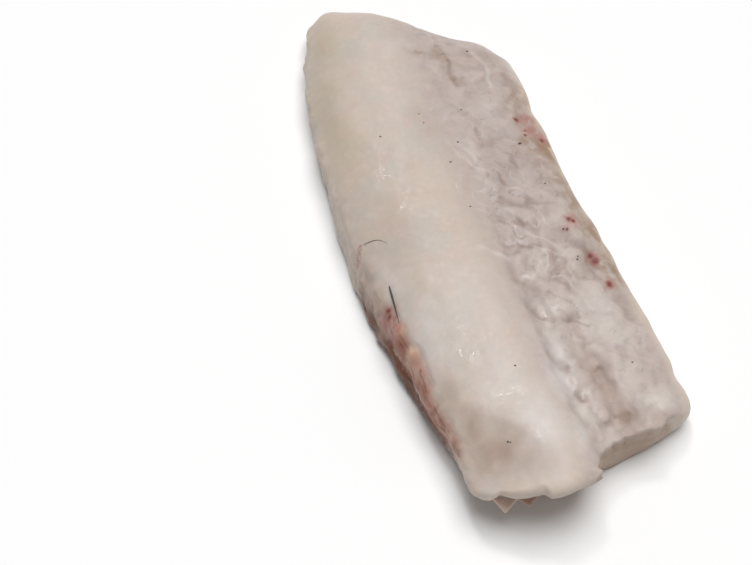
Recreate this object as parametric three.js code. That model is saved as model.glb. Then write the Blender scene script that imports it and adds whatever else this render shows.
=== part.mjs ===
// A lightly salted cod loin: one thick block of raw, skinless fish, lying on its skin side, bone side up.
// The smooth back muscle is a long rounded ridge on the left. A groove parts it from the right side,
// which is rough and lumpy where the bones were lifted off.
// The near end is cut across, and the far end is cut on a slant.
// Millimetres, +Z up, X across, +Y from the near end to the far end, origin under the middle of the block.
import * as THREE from "three";
import { ParametricGeometry } from "three/addons/geometries/ParametricGeometry.js";
import { mergeVertices } from "three/addons/utils/BufferGeometryUtils.js";

const { clamp, lerp, smoothstep } = THREE.MathUtils;

// Driving dimensions
const LENGTH = 237;
const WIDTH = 103;
const THICKNESS = 32;

// The outline from above. Long edges: x as a share of the width, at even steps from near to far.
// Ends, and the near end's foot, which lies further in: y as a share of the length, at even steps
// from left to right. Then the radii of the corners.
const LEFT_EDGE = [-0.321, -0.363, -0.421, -0.463, -0.481, -0.458, -0.423, -0.38, -0.293];
const RIGHT_EDGE = [0.499, 0.494, 0.474, 0.443, 0.421, 0.403, 0.396, 0.393, 0.381];
const NEAR_END = [-0.447, -0.477, -0.482, -0.483, -0.476, -0.445, -0.435, -0.434, -0.424];
const NEAR_FOOT = [-0.405, -0.408, -0.41, -0.412, -0.43, -0.439, -0.432, -0.424, -0.413];
const FAR_END = [0.497, 0.504, 0.485, 0.468, 0.443, 0.403, 0.373, 0.354, 0.328];
const LEFT_CORNER = 4;
const NEAR_RIGHT_CORNER = 10;
const FAR_RIGHT_CORNER = 6;

// How far from its cut each right corner stops turning in, so that no row folds back over a slanted cut
const NEAR_CORNER_STOP = 0.12;
const FAR_CORNER_STOP = 1.3;

// Sections across the block: height of the bone side as a share of the thickness, at even steps
// from left to right. The ridge of back muscle is on the left, and the groove lies just past the middle.
const NEAR_SECTION = [0.74, 0.88, 0.95, 0.98, 0.88, 0.74, 0.72, 0.71, 0.66];
const MIDDLE_SECTION = [0.7, 0.86, 0.95, 0.98, 0.94, 0.86, 0.84, 0.81, 0.74];
const FAR_SECTION = [0.46, 0.64, 0.75, 0.8, 0.79, 0.76, 0.73, 0.68, 0.58];
const SECTION_PLACES = [0.08, 0.5, 0.95];
const WIDEST_LEVEL = 0.42;

// How far the left wall leans in at its top, and how square its shoulder is, at even steps from near to far
const LEFT_LEAN = [-4, -1.5, 2.5, 4, 1, -3, -4, -4];
const LEFT_LEAN_RISE = [0.1, 1];
const LEFT_SQUARENESS = [5, 7, 8, 7, 5, 4, 3.6, 3.6];

// The same for the right wall, and the foot, which is pressed flat
const RIGHT_LEAN = 1.5;
const RIGHT_LEAN_RISE = [0.4, 1];
const RIGHT_SQUARENESS = 5;
const FOOT_SQUARENESS = 6;
const FOOT_PRESS = 1.07;

// Ends: how far the ridge's near end stands out past the right side's, how far in the top starts to fall
// and the share of the height left at the cut, on the left and the right. How far the far cut slants in
// under its top, and the share of the length over which a cut's slant fades.
const NEAR_STEP = 4;
const NEAR_FALL_LEFT = 4;
const NEAR_FALL_RIGHT = 1;
const NEAR_LIP_LEFT = 0.9;
const NEAR_LIP_RIGHT = 0.96;
const FAR_FALL = 22;
const FAR_LIP = 0.55;
const FAR_UNDERCUT = 3;
const UNDERCUT_REACH = 0.09;

// Where the near end's left form passes into its right form, measured across from the groove
const NEAR_STEP_SPAN = [-1, 2];
const NEAR_TOP_SPAN = [-4, 3];

// Relief of the bone side. Lumps fade past the near half, and so does the ridge's overhang over the groove.
const NEAR_HALF_FADE = [-30, 50];
const OVERHANG_FADE = [-70, 15];
const GROOVE_LINE = [0.068, 0.07, 0.052, 0.042, 0.05, 0.044, 0.05, 0.055];
const GROOVE_WIDTH = 2.6;
const GROOVE_DEPTH = 0.8;
const STEP_DEPTH = 1.8;
const STEP_SPAN = [-6, 4];
const SWELL_SIZE = 26;
const SWELL_HEIGHT = 0.9;
const LUMP_ACROSS = 9;
const LUMP_ALONG = 12;
const LUMP_HEIGHT = 1.7;
const LUMP_SHARPNESS = 5;
const LUMP_SPAN = [-1, 5];
const FAR_LUMP_SHARE = 0.45;
const FURROW = { startX: 14, endX: 24, startY: -38, endY: -103, width: 3.6, depth: 1.5 };
const DENT = { x: -25, y: -94, reachX: 10, reachY: 13, depth: 3 };

// Ripples of the walls and the cut ends
const WALL_RIPPLE_SIZE = 9;
const WALL_RIPPLE = 0.9;
const CUT_RIPPLE_SIZE = 9;
const CUT_RIPPLE = 0.7;

// Steps of the grid: across the top, down a wall, across the foot, in a cut end, and along the block
const TOP_STEPS = 34;
const WALL_STEPS = 6;
const FOOT_STEPS = 8;
const CUT_STEPS = 5;
const BODY_STEPS = 78;
const END_CROWDING = 0.4;

// A smooth curve through values at even steps, read at a share from 0 to 1
function along(values, share) {
  const last = values.length - 1;
  const place = clamp(share, 0, 1) * last;
  const i = Math.min(Math.floor(place), last - 1);
  const f = place - i;
  const [a, b, c, d] = [-1, 0, 1, 2].map((k) => values[clamp(i + k, 0, last)]);
  return b + 0.5 * f * (c - a + f * (2 * a - 5 * b + 4 * c - d + f * (3 * (b - c) + d - a)));
}

// A bell of height 1 at the middle
const bell = (distance, reach) => Math.exp(-((distance / reach) ** 2));

// A fixed scatter of numbers from 0 to 1, one for each whole-number cell
function scatter(i, j) {
  const h = Math.sin(i * 127.1 + j * 311.7) * 43758.5453;
  return h - Math.floor(h);
}

// Soft swells from -1 to 1 over cells of size 1
function swells(x, y) {
  const i = Math.floor(x);
  const j = Math.floor(y);
  const fx = smoothstep(x - i, 0, 1);
  const fy = smoothstep(y - j, 0, 1);
  const low = lerp(scatter(i, j), scatter(i + 1, j), fx);
  const high = lerp(scatter(i, j + 1), scatter(i + 1, j + 1), fx);
  return 2 * lerp(low, high, fy) - 1;
}

// Packed lumps over cells of size 1: a dome round each scattered point, with rounded creases between domes
function lumps(x, y) {
  let total = Math.exp(-LUMP_SHARPNESS);
  for (let i = Math.floor(x) - 1; i <= Math.floor(x) + 1; i++) {
    for (let j = Math.floor(y) - 1; j <= Math.floor(y) + 1; j++) {
      const px = i + scatter(i, j);
      const py = j + scatter(j + 57, i + 13);
      total += Math.exp(-LUMP_SHARPNESS * ((x - px) ** 2 + (y - py) ** 2));
    }
  }
  return 0.5 + Math.log(total) / LUMP_SHARPNESS;
}

// Height of the section at share s of the length and t of the width
function sectionHeight(s, t) {
  const [nearPlace, middlePlace, farPlace] = SECTION_PLACES;
  const middle = along(MIDDLE_SECTION, t);
  const nearHalf = lerp(along(NEAR_SECTION, t), middle, smoothstep(s, nearPlace, middlePlace));
  return THICKNESS * lerp(nearHalf, along(FAR_SECTION, t), smoothstep(s, middlePlace, farPlace));
}

// The share of a rounded corner's height that is reached at a distance in from the cut end
function roundedRise(distance, reach) {
  return Math.sqrt(1 - (1 - clamp(distance / reach, 0, 1)) ** 2);
}

// Lumps, groove, furrow, dent and swells of the bone side
function relief(x, y, offGroove) {
  const nearHalf = 1 - smoothstep(y, ...NEAR_HALF_FADE);
  const overhang = 1 - smoothstep(y, ...OVERHANG_FADE);
  const rough = smoothstep(offGroove, ...LUMP_SPAN) * lerp(FAR_LUMP_SHARE, 1, nearHalf);
  const furrowShare = clamp((FURROW.startY - y) / (FURROW.startY - FURROW.endY), 0, 1);
  const offFurrow = x - lerp(FURROW.startX, FURROW.endX, furrowShare);
  const dent = bell(x - DENT.x, DENT.reachX) * bell(y - DENT.y, DENT.reachY);
  return (
    SWELL_HEIGHT * swells(x / SWELL_SIZE, y / SWELL_SIZE) +
    LUMP_HEIGHT * rough * lumps(x / LUMP_ACROSS, y / LUMP_ALONG) -
    GROOVE_DEPTH * overhang * bell(offGroove, GROOVE_WIDTH) -
    STEP_DEPTH * overhang * smoothstep(offGroove, ...STEP_SPAN) -
    FURROW.depth * smoothstep(furrowShare, 0, 0.3) * bell(offFurrow, FURROW.width) -
    DENT.depth * dent
  );
}

// The edge of a square from (-1, 1) clockwise, with its own number of steps on each side
function squareEdge(u) {
  let step = u * (TOP_STEPS + WALL_STEPS + FOOT_STEPS + WALL_STEPS);
  if (step <= TOP_STEPS) return [lerp(-1, 1, step / TOP_STEPS), 1];
  step -= TOP_STEPS;
  if (step <= WALL_STEPS) return [1, lerp(1, -1, step / WALL_STEPS)];
  step -= WALL_STEPS;
  if (step <= FOOT_STEPS) return [lerp(1, -1, step / FOOT_STEPS), -1];
  return [-1, lerp(-1, 1, (step - FOOT_STEPS) / WALL_STEPS)];
}

// Where row v of the grid lies: the share s of the length, and how much of the section it spans in a cut
function rowPlace(v) {
  const step = v * (BODY_STEPS + 2 * CUT_STEPS);
  const span = Math.min(step, BODY_STEPS + 2 * CUT_STEPS - step) / CUT_STEPS;
  const even = clamp((step - CUT_STEPS) / BODY_STEPS, 0, 1);
  const s = even - (END_CROWDING * Math.sin(2 * Math.PI * even)) / (2 * Math.PI);
  return { s, span: Math.min(span, 1) };
}

// A point of the surface: u runs round the section, v from the middle of the near cut to that of the far one
function loinPoint(u, v, target) {
  const { s, span } = rowPlace(v);
  const [p, q] = squareEdge(u % 1);

  // Round the square's corners, each corner by its own squareness
  const upper = lerp(along(LEFT_SQUARENESS, s), RIGHT_SQUARENESS, smoothstep(p, -0.3, 0.3));
  const squareness = q > 0 ? upper : FOOT_SQUARENESS;
  const rounding = (Math.abs(p) ** squareness + Math.abs(q) ** squareness) ** (1 / squareness);
  const across = (span * p) / rounding;
  const height = (span * q) / rounding;

  // Place it in the outline
  const t = (across + 1) / 2;
  const rise = clamp((height + 1) / 2, 0, 1);
  const fromEnd = Math.min(s, 1 - s) * LENGTH;
  const leftCorner = LEFT_CORNER * (1 - roundedRise(fromEnd, LEFT_CORNER));
  const farHalf = smoothstep(s, 0.3, 0.7);
  const rightRadius = lerp(NEAR_RIGHT_CORNER, FAR_RIGHT_CORNER, farHalf);
  const cornerStop = lerp(NEAR_CORNER_STOP, FAR_CORNER_STOP, farHalf);
  const rightCorner = rightRadius * (1 - roundedRise(Math.max(fromEnd, cornerStop), rightRadius));
  const leftLean = along(LEFT_LEAN, s) * smoothstep(rise, ...LEFT_LEAN_RISE);
  const rightLean = RIGHT_LEAN * smoothstep(rise, ...RIGHT_LEAN_RISE);
  const left = WIDTH * along(LEFT_EDGE, s) + leftLean + leftCorner;
  const right = WIDTH * along(RIGHT_EDGE, s) - rightLean - rightCorner;
  const x = lerp(left, right, t);
  const offGroove = x - WIDTH * along(GROOVE_LINE, s);
  const nearEnd = LENGTH * along(NEAR_END, t) - NEAR_STEP * (1 - smoothstep(offGroove, ...NEAR_STEP_SPAN));
  const farEnd = LENGTH * along(FAR_END, t);
  const y = lerp(nearEnd, farEnd, s);

  // Height of the bone side here
  const rightSide = smoothstep(offGroove, ...NEAR_TOP_SPAN);
  const nearFall = lerp(NEAR_FALL_LEFT, NEAR_FALL_RIGHT, rightSide);
  const nearLip = lerp(NEAR_LIP_LEFT, NEAR_LIP_RIGHT, rightSide);
  const nearHeight = lerp(nearLip, 1, roundedRise(y - nearEnd, nearFall));
  const farHeight = lerp(FAR_LIP, 1, roundedRise(farEnd - y, FAR_FALL));
  const top = sectionHeight(s, t) * nearHeight * farHeight + relief(x, y, offGroove);
  const middle = WIDEST_LEVEL * top;
  const z = height > 0 ? lerp(middle, top, height) : middle * (1 - Math.min(1, -height * FOOT_PRESS));

  // Ripples on the walls and the cut ends, and the slant of the cuts
  const wall = smoothstep(Math.abs(across), 0.9, 1) * smoothstep(z, 0.5, 4);
  const cut = (s === 0 ? -1 : s === 1 ? 1 : 0) * (1 - span ** 6);
  const wallRipple = WALL_RIPPLE * wall * swells(y / WALL_RIPPLE_SIZE, z / WALL_RIPPLE_SIZE);
  const cutRipple = CUT_RIPPLE * cut * swells(x / CUT_RIPPLE_SIZE, z / CUT_RIPPLE_SIZE);
  const nearUndercut = LENGTH * along(NEAR_FOOT, t) - nearEnd;
  const slant = nearUndercut * bell(s, UNDERCUT_REACH) - FAR_UNDERCUT * bell(1 - s, UNDERCUT_REACH);
  const undercut = (1 - rise) * slant;
  target.set(x + Math.sign(across) * wallRipple, y + cutRipple + undercut, z);
}

// Join the seam and the middles of the cuts, and drop the triangles that they close to nothing
function closed(geometry) {
  geometry.deleteAttribute("normal");
  geometry.deleteAttribute("uv");
  const merged = mergeVertices(geometry, 1e-3);
  const corners = merged.index.array;
  const kept = [];
  for (let i = 0; i < corners.length; i += 3) {
    const [a, b, c] = corners.slice(i, i + 3);
    if (a !== b && b !== c && c !== a) kept.push(a, b, c);
  }
  merged.setIndex(kept);
  return merged;
}

// Scale a shape to the driving dimensions and stand it on the table with its box centred on the origin
function fitted(geometry) {
  geometry.computeBoundingBox();
  const { min, max } = geometry.boundingBox;
  geometry.translate(-(min.x + max.x) / 2, -(min.y + max.y) / 2, -min.z);
  geometry.scale(WIDTH / (max.x - min.x), LENGTH / (max.y - min.y), THICKNESS / (max.z - min.z));
  geometry.computeVertexNormals();
  return geometry;
}

const aroundSteps = TOP_STEPS + 2 * WALL_STEPS + FOOT_STEPS;
const alongSteps = BODY_STEPS + 2 * CUT_STEPS;
const rawFish = new THREE.MeshStandardMaterial({ color: 0xcdbdb0, roughness: 0.45, metalness: 0 });

const surface = new ParametricGeometry(loinPoint, aroundSteps, alongSteps);

const loin = new THREE.Mesh(fitted(closed(surface)), rawFish);
loin.name = "loin";

const part = new THREE.Group();
part.add(loin);

export default part;
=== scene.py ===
import math

import bpy
import numpy as np
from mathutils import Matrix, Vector


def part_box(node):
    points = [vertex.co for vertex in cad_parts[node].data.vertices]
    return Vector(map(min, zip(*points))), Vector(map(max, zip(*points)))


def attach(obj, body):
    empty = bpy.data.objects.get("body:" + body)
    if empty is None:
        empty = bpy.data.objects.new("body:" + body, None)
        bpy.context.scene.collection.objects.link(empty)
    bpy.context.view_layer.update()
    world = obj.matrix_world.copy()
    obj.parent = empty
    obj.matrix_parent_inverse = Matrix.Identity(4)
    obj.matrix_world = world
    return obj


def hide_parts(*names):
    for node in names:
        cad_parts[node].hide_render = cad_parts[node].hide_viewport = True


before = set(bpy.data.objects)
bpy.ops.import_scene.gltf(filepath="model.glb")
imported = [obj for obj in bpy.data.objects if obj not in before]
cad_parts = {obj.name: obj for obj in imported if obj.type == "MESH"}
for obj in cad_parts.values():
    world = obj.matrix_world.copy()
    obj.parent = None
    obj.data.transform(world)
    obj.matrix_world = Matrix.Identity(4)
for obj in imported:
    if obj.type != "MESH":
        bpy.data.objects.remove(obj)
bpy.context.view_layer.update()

# The loin
# One thick block of raw, lightly salted cod, skinned and boned with a knife, lying on its skin side. The
# smooth back muscle is a ridge on the left, and the right side is lumpy where the bones were lifted off.

# Sizes are in millimetres. The broad form is a rounded square section, carried from cut to cut.
MM = 0.001
LOIN_LOW, LOIN_HIGH = (np.array(corner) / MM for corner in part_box("loin"))
WIDTH, LENGTH, THICKNESS = LOIN_HIGH - LOIN_LOW

# The outline from above, as shares: x of the long edges from near to far, and y of the ends and of the near
# end's foot from left to right. Then the corners' radii, and how far from the near and the far cut the right
# ones stop, so that no row folds back.
LEFT_EDGE = (-0.321, -0.363, -0.421, -0.463, -0.481, -0.458, -0.423, -0.38, -0.293)
RIGHT_EDGE = (0.499, 0.494, 0.474, 0.443, 0.421, 0.403, 0.396, 0.393, 0.381)
NEAR_END = (-0.447, -0.477, -0.482, -0.483, -0.476, -0.445, -0.435, -0.434, -0.424)
NEAR_FOOT = (-0.405, -0.408, -0.41, -0.412, -0.43, -0.439, -0.432, -0.424, -0.413)
FAR_END = (0.497, 0.504, 0.485, 0.468, 0.443, 0.403, 0.373, 0.354, 0.328)
LEFT_CORNER = 4
NEAR_RIGHT_CORNER = 10
FAR_RIGHT_CORNER = 6
CORNER_STOPS = (0.12, 1.3)

# Sections across: the bone side's height from left to right, near the near end, in the middle and far
NEAR_SECTION = (0.74, 0.88, 0.95, 0.98, 0.88, 0.74, 0.72, 0.71, 0.66)
MIDDLE_SECTION = (0.7, 0.86, 0.95, 0.98, 0.94, 0.86, 0.84, 0.81, 0.74)
FAR_SECTION = (0.46, 0.64, 0.75, 0.8, 0.79, 0.76, 0.73, 0.68, 0.58)
SECTION_PLACES = (0.08, 0.5, 0.95)
WIDEST_LEVEL = 0.42
FAR_HALF = (0.3, 0.7)

# The walls: the left one's lean in at its top and its shoulder's squareness, from near to far, the same for
# the right one, the heights over which they lean, and the foot, pressed flat
LEFT_LEAN = (-4, -1.5, 2.5, 4, 1, -3, -4, -4)
LEFT_LEAN_RISE = (0.1, 1)
LEFT_SQUARE = (5, 7, 8, 7, 5, 4, 3.6, 3.6)
RIGHT_LEAN = 1.5
RIGHT_LEAN_RISE = (0.4, 1)
RIGHT_SQUARE = 5
SQUARE_SPAN = (-0.3, 0.3)
FOOT_SQUARE = 6
FOOT_PRESS = 1.07

# The cut ends: how far the ridge's end stands out past the lumpy side's and where one passes into the other,
# where the top starts to fall and the height left at the cut, for both, and the far cut's slant
NEAR_STEP = 4
NEAR_STEP_SPAN = (-1, 2)
NEAR_TOP_SPAN = (-4, 3)
NEAR_FALL = (4, 1)
NEAR_LIP = (0.9, 0.96)
FAR_FALL = 22
FAR_LIP = 0.55
FAR_UNDERCUT = 3
UNDERCUT_REACH = 0.09

# The grid: steps across the top, down a wall, across the foot, in a cut end and along the block, and how much
# they crowd to the lumpy side and to the ends
TOP_STEPS = 160
WALL_STEPS = 24
FOOT_STEPS = 14
CUT_STEPS = 26
BODY_STEPS = 372
SIDE_CROWDING = 0.25
END_CROWDING = 0.3


def blend(low, high, share):
    """From low to high by a share of 0 to 1."""
    return low + (high - low) * share


def smooth(value, start, full):
    """An eased step: 0 up to start, 1 from full on, and 3 t squared less 2 t cubed between."""
    t = np.clip((value - start) / (full - start), 0, 1)
    return t * t * (3 - 2 * t)


def bell(distance, reach):
    """A bell of height 1: e to the power of minus the squared share of the reach."""
    return np.exp(-((distance / reach) ** 2))


def bulge(value, place, reach, height):
    """A bell of its own height round a place."""
    return height * bell(value - place, reach)


def curve(values, share):
    """A smooth curve through values at even steps, read at shares from 0 to 1: the Catmull-Rom cubic."""
    values = np.asarray(values, float)
    last = len(values) - 1
    place = np.clip(share, 0, 1) * last
    step = np.minimum(np.floor(place), last - 1).astype(int)
    f = place - step
    a, b, c, d = (values[np.clip(step + k, 0, last)] for k in (-1, 0, 1, 2))
    if values.ndim > 1:
        f = f[..., None]
    return b + 0.5 * f * (c - a + f * (2 * a - 5 * b + 4 * c - d + f * (3 * (b - c) + d - a)))


def scatter(i, j):
    """A fixed number from 0 to 1 for each whole-number cell: the fraction of a large sine."""
    h = np.sin(i * 127.1 + j * 311.7) * 43758.5453
    return h - np.floor(h)


def swells(x, y):
    """Soft swells from -1 to 1 over cells of size 1: the scattered numbers of the corners, eased between."""
    i, j = np.floor(x), np.floor(y)
    fx, fy = smooth(x - i, 0, 1), smooth(y - j, 0, 1)
    low = blend(scatter(i, j), scatter(i + 1, j), fx)
    high = blend(scatter(i, j + 1), scatter(i + 1, j + 1), fx)
    return 2 * blend(low, high, fy) - 1


def layered(x, y, layers):
    """Soft swells added up: each layer gives its cells' size both ways and its height."""
    return sum(height * swells(x / size_x, y / size_y) for size_x, size_y, height in layers)


def wandering(y, swings):
    """A line's soft swings aside along the block: each gives its size, start in the swells and reach."""
    return sum(reach * swells(y / size, start + 0 * y) for size, start, reach in swings)


def strayed(x, y, swings):
    """Places moved by soft swells: each swing gives their size both ways, reach, and starts for x and y."""
    stray_x, stray_y = x, y
    for size_x, size_y, reach, start_x, start_y in swings:
        i, j = x / size_x, y / size_y
        stray_x = stray_x + reach * swells(i + start_x[0], j + start_x[1])
        stray_y = stray_y + reach * swells(i + start_y[0], j + start_y[1])
    return stray_x, stray_y


LUMP_SHARPNESS = 5


def lumps(x, y):
    """Packed lumps over cells of size 1: a half less the squared distance to the nearest scattered point,
    with the creases rounded, as the logarithm of a sum of bells gives the nearest softly."""
    total = np.zeros_like(x)
    for di in (-1, 0, 1):
        for dj in (-1, 0, 1):
            i, j = np.floor(x) + di, np.floor(y) + dj
            px, py = i + scatter(i, j), j + scatter(j + 57, i + 13)
            total += np.exp(-LUMP_SHARPNESS * ((x - px) ** 2 + (y - py) ** 2))
    return 0.5 + np.log(total + np.exp(-LUMP_SHARPNESS)) / LUMP_SHARPNESS


def rounded_rise(distance, reach):
    """A quarter circle: the share of the height reached at a distance in from an edge."""
    return np.sqrt(1 - (1 - np.clip(distance / reach, 0, 1)) ** 2)


def square_edge():
    """The edge of a square from (-1, 1) clockwise, with its own number of steps on each side, and those of
    the top drawn together to the right by half a sine wave."""
    even = np.linspace(0, 1, TOP_STEPS, endpoint=False)
    across = 2 * (even + SIDE_CROWDING * np.sin(np.pi * even) / np.pi) - 1
    down = np.linspace(1, -1, WALL_STEPS, endpoint=False)
    back = np.linspace(1, -1, FOOT_STEPS, endpoint=False)
    p = np.concatenate([across, np.ones(WALL_STEPS), back, -np.ones(WALL_STEPS)])
    q = np.concatenate([np.ones(TOP_STEPS), down, -np.ones(FOOT_STEPS), -down])
    return p, q


def row_places():
    """Each row's share of the length, crowded towards the ends, and its span of the section in a cut end."""
    even = np.linspace(0, 1, BODY_STEPS + 1)
    body = even - END_CROWDING * np.sin(2 * np.pi * even) / (2 * np.pi)
    growing = np.linspace(0, 1, CUT_STEPS, endpoint=False)[1:]
    s = np.concatenate([0 * growing, body, 1 + 0 * growing])
    span = np.concatenate([growing, 1 + 0 * body, growing[::-1]])
    return s, span


# Relief of the bone side: where along it the lumps and the overhang fade, the groove under the overhanging
# ridge and the step down there, swells, lumps, furrow and dent
NEAR_HALF_FADE = (-30, 50)
OVERHANG_FADE = (-70, 15)
GROOVE_LINE = (0.068, 0.07, 0.052, 0.042, 0.05, 0.044, 0.05, 0.055)
GROOVE_WIDTH = 2.6
GROOVE_DEPTH = 0.8
STEP_DEPTH = 1.8
STEP_SPAN = (-6, 4)
SWELL_SIZE = 26
SWELL_HEIGHT = 0.9
LUMP_ACROSS = 9
LUMP_ALONG = 12
LUMP_HEIGHT = 1.7
LUMP_SPAN = (-1, 5)
FAR_LUMP_SHARE = 0.45
FURROW_START = (14, -38)
FURROW_END = (24, -103)
FURROW_WIDTH = 3.6
FURROW_DEPTH = 1.5
FURROW_FADE = 0.3
# The flesh is tinted darker along the furrow: how far from its line, and where along the block this fades
FURROW_DARKENING = 4.4
FURROW_DARKENING_FADE = (-75, -50)
DENT_PLACE = (-25, -94)
DENT_REACH = (10, 13)
DENT_DEPTH = 3


def near_share(y):
    """How far a place belongs to the near half, where the lumps stand out."""
    return 1 - smooth(y, *NEAR_HALF_FADE)


def overhang_share(y):
    """How far the ridge overhangs the lumpy side: fully near the near end, and no more past the middle."""
    return 1 - smooth(y, *OVERHANG_FADE)


def broad_relief(x, y, off_groove):
    """Swells and lumps, less the groove, the step down from the ridge, the furrow and the dent."""
    rough = smooth(off_groove, *LUMP_SPAN) * blend(FAR_LUMP_SHARE, 1, near_share(y))
    share = np.clip((FURROW_START[1] - y) / (FURROW_START[1] - FURROW_END[1]), 0, 1)
    off_furrow = x - blend(FURROW_START[0], FURROW_END[0], share)
    dent = bell(x - DENT_PLACE[0], DENT_REACH[0]) * bell(y - DENT_PLACE[1], DENT_REACH[1])
    return (
        SWELL_HEIGHT * swells(x / SWELL_SIZE, y / SWELL_SIZE)
        + LUMP_HEIGHT * rough * lumps(x / LUMP_ACROSS, y / LUMP_ALONG)
        - GROOVE_DEPTH * overhang_share(y) * bell(off_groove, GROOVE_WIDTH)
        - STEP_DEPTH * overhang_share(y) * smooth(off_groove, *STEP_SPAN)
        - FURROW_DEPTH * smooth(share, 0, FURROW_FADE) * bell(off_furrow, FURROW_WIDTH)
        - DENT_DEPTH * dent
    )


def section_height(s, t):
    """The bone side's height at shares s of the length and t of the width: three sections, eased between."""
    near_place, middle_place, far_place = SECTION_PLACES
    middle = curve(MIDDLE_SECTION, t)
    near_half = blend(curve(NEAR_SECTION, t), middle, smooth(s, near_place, middle_place))
    return THICKNESS * blend(near_half, curve(FAR_SECTION, t), smooth(s, middle_place, far_place))


def broad_form(p, q, s, span):
    """The block: a square edge rounded by its own power at each corner, stretched between the outline's edges
    and ends, with its upper half lifted to the bone side's height and its lower half pressed flat."""
    upper = blend(curve(LEFT_SQUARE, s), RIGHT_SQUARE, smooth(p, *SQUARE_SPAN))
    power = np.where(q > 0, upper, FOOT_SQUARE)
    rounding = (np.abs(p) ** power + np.abs(q) ** power) ** (1 / power)
    across, height = span * p / rounding, span * q / rounding
    t = (across + 1) / 2
    rise = np.clip((height + 1) / 2, 0, 1)

    from_end = np.minimum(s, 1 - s) * LENGTH
    left_corner = LEFT_CORNER * (1 - rounded_rise(from_end, LEFT_CORNER))
    right_radius = blend(NEAR_RIGHT_CORNER, FAR_RIGHT_CORNER, smooth(s, *FAR_HALF))
    stop = blend(*CORNER_STOPS, smooth(s, *FAR_HALF))
    right_corner = right_radius * (1 - rounded_rise(np.maximum(from_end, stop), right_radius))
    left_lean = curve(LEFT_LEAN, s) * smooth(rise, *LEFT_LEAN_RISE)
    left = WIDTH * curve(LEFT_EDGE, s) + left_lean + left_corner
    right = WIDTH * curve(RIGHT_EDGE, s) - RIGHT_LEAN * smooth(rise, *RIGHT_LEAN_RISE) - right_corner
    x = blend(left, right, t)
    off_groove = x - WIDTH * curve(GROOVE_LINE, s)
    near_end = LENGTH * curve(NEAR_END, t) - NEAR_STEP * (1 - smooth(off_groove, *NEAR_STEP_SPAN))
    far_end = LENGTH * curve(FAR_END, t)
    y = blend(near_end, far_end, s)

    right_side = smooth(off_groove, *NEAR_TOP_SPAN)
    near_rise = rounded_rise(y - near_end, blend(*NEAR_FALL, right_side))
    near_height = blend(blend(*NEAR_LIP, right_side), 1, near_rise)
    far_height = blend(FAR_LIP, 1, rounded_rise(far_end - y, FAR_FALL))
    top = section_height(s, t) * near_height * far_height + broad_relief(x, y, off_groove)
    middle = WIDEST_LEVEL * top
    pressed = span * np.minimum(1, -FOOT_PRESS * height / span)
    z = np.where(height > 0, blend(middle, top, height), middle * (1 - pressed))
    near_undercut = LENGTH * curve(NEAR_FOOT, t) - near_end
    undercut = near_undercut * bell(s, UNDERCUT_REACH) - FAR_UNDERCUT * bell(1 - s, UNDERCUT_REACH)
    points = np.stack([x, y + (1 - rise) * undercut, z], axis=-1)
    return points, across, rise, off_groove


def fitted(points, low, high):
    """The points scaled and moved so that their box is the box from low to high."""
    corner = points.min(axis=(0, 1))
    size = points.max(axis=(0, 1)) - corner
    return low + (points - corner) * (high - low) / size


def outward(points):
    """Unit normals of a grid that closes round its columns: the cross product of its central differences."""
    around = np.roll(points, -1, axis=1) - np.roll(points, 1, axis=1)
    along = np.gradient(points, axis=0)
    normals = np.cross(around, along)
    return normals / np.maximum(np.linalg.norm(normals, axis=-1, keepdims=True), 1e-9)


def line_distance(x, y, points):
    """The distance from each place to a bent line: the least over its straight pieces."""
    nearest = np.full(x.shape, np.inf)
    for (ax, ay), (bx, by) in zip(points, points[1:]):
        dx, dy = bx - ax, by - ay
        share = np.clip(((x - ax) * dx + (y - ay) * dy) / (dx * dx + dy * dy), 0, 1)
        nearest = np.minimum(nearest, np.hypot(x - ax - share * dx, y - ay - share * dy))
    return nearest


# Fine relief. Creases, folds and torn membrane edges are lines on the bone side, seen from above: the line,
# its width, and how far it stands up or, below zero, sinks in. Then the lines' strength and its swells.
FINE_LINES = (
    (((10.6, 82), (12, 74), (11.6, 66), (11.8, 59)), 1.2, -0.3),
    (((23, 74), (25.9, 66), (24.8, 53)), 1.0, 0.2),
    (((1.2, 32), (6.9, 25), (6.4, 12)), 1.1, 0.2),
    (((11, 37), (12.3, 33), (11.7, 29)), 1.1, -0.3),
    (((10, 3.5), (15.5, -2.2)), 1.3, -0.5),
    (((10.5, -8), (17, -12.8)), 1.2, -0.4),
    (((5, -16), (10, -19), (16, -20.8)), 1.3, -0.5),
    (((-5, -16), (0, -19), (3.8, -22.6)), 1.1, 0.3),
)
LINE_STRENGTH = 0.7
LINE_SWELLS = ((2.2, 3, 0.5),)
NOSE_FOLD = ((-24, -80), (-17.4, -88.5), (-10.5, -97))
NOSE_FOLD_WIDTH = 3.2
NOSE_FOLD_HEIGHT = 0.5

# Crevices under the edge of the ridge
CREVICES = (
    ((4.6, -64.5), (6.8, -68.5), (9.4, -71.2)),
    ((9.4, -83), (10.6, -84.4)),
    ((6.9, -34.6), (8.8, -37)),
    ((5.9, -46.6), (7.5, -49.8)),
)
CREVICE_WIDTH = 1.9
CREVICE_DEPTH = 0.8

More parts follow.
